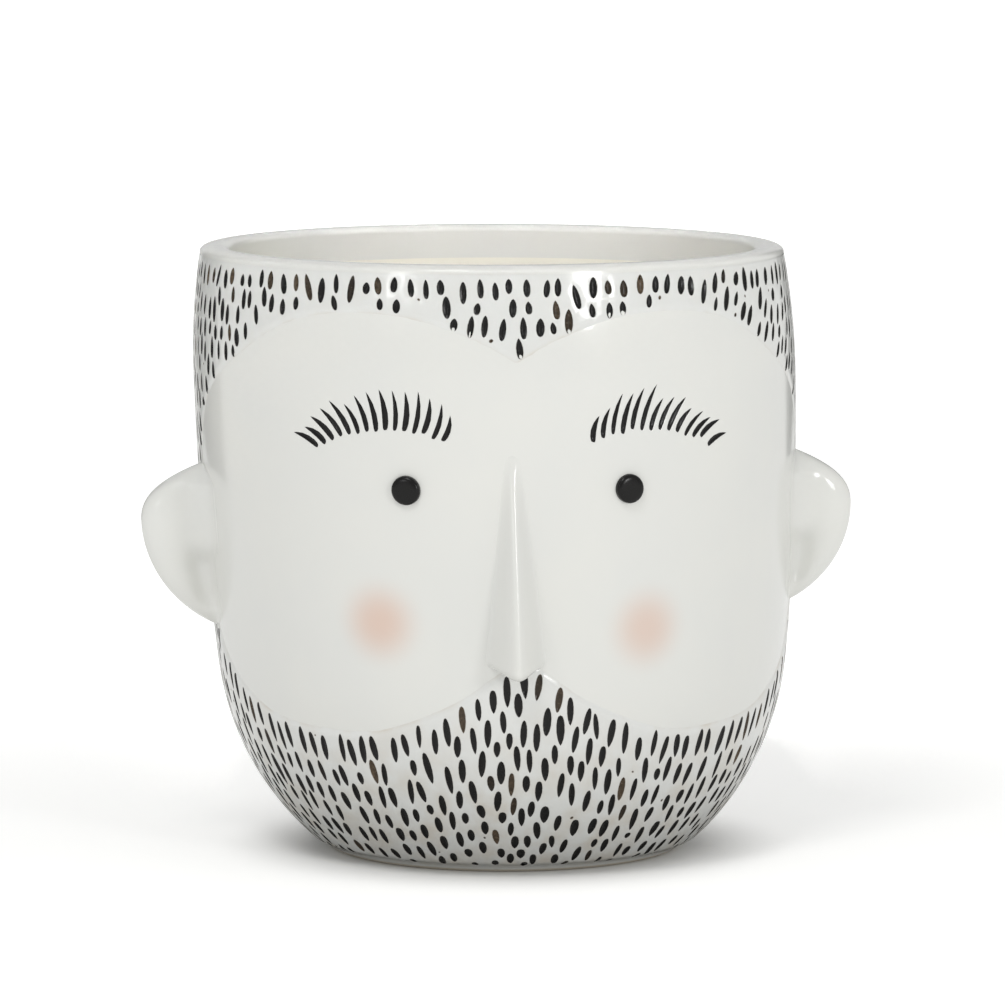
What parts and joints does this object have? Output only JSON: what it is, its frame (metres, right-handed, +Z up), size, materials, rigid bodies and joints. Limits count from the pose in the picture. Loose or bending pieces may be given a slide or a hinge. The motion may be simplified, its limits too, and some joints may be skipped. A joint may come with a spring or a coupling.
{
  "type": "head planter",
  "caption": "White glazed plant pot shaped as a bearded head, with ears, a long nose, dark carved brow strokes, a raised hair and beard layer and a drain plug that lifts out.",
  "frame": {"origin": "on the pot's axis, at the level of the foot ring that it stands on", "axes": "+Z up along the pot's axis, the face looks along -Y, the head's left ear is towards +X"},
  "size_m": [0.173, 0.1546, 0.149],
  "materials": {
    "white_glaze": "gloss",
    "black_glaze": "gloss",
    "plug_rubber": "matt"
  },
  "bodies": {
    "pot": {"pot_shell": "white_glaze", "hair": "white_glaze", "beard": "white_glaze", "nose": "white_glaze", "left_ear": "white_glaze", "right_ear": "white_glaze", "left_eye": "black_glaze", "right_eye": "black_glaze", "left_brow": "black_glaze", "right_brow": "black_glaze"},
    "plug": {"drain_plug": "plug_rubber"}
  },
  "joints": [
    {"name": "plug_lift", "type": "slide", "parent": "pot", "child": "plug", "axis": [0, 0, 1], "range_m": [0, 0.15]}
  ]
}
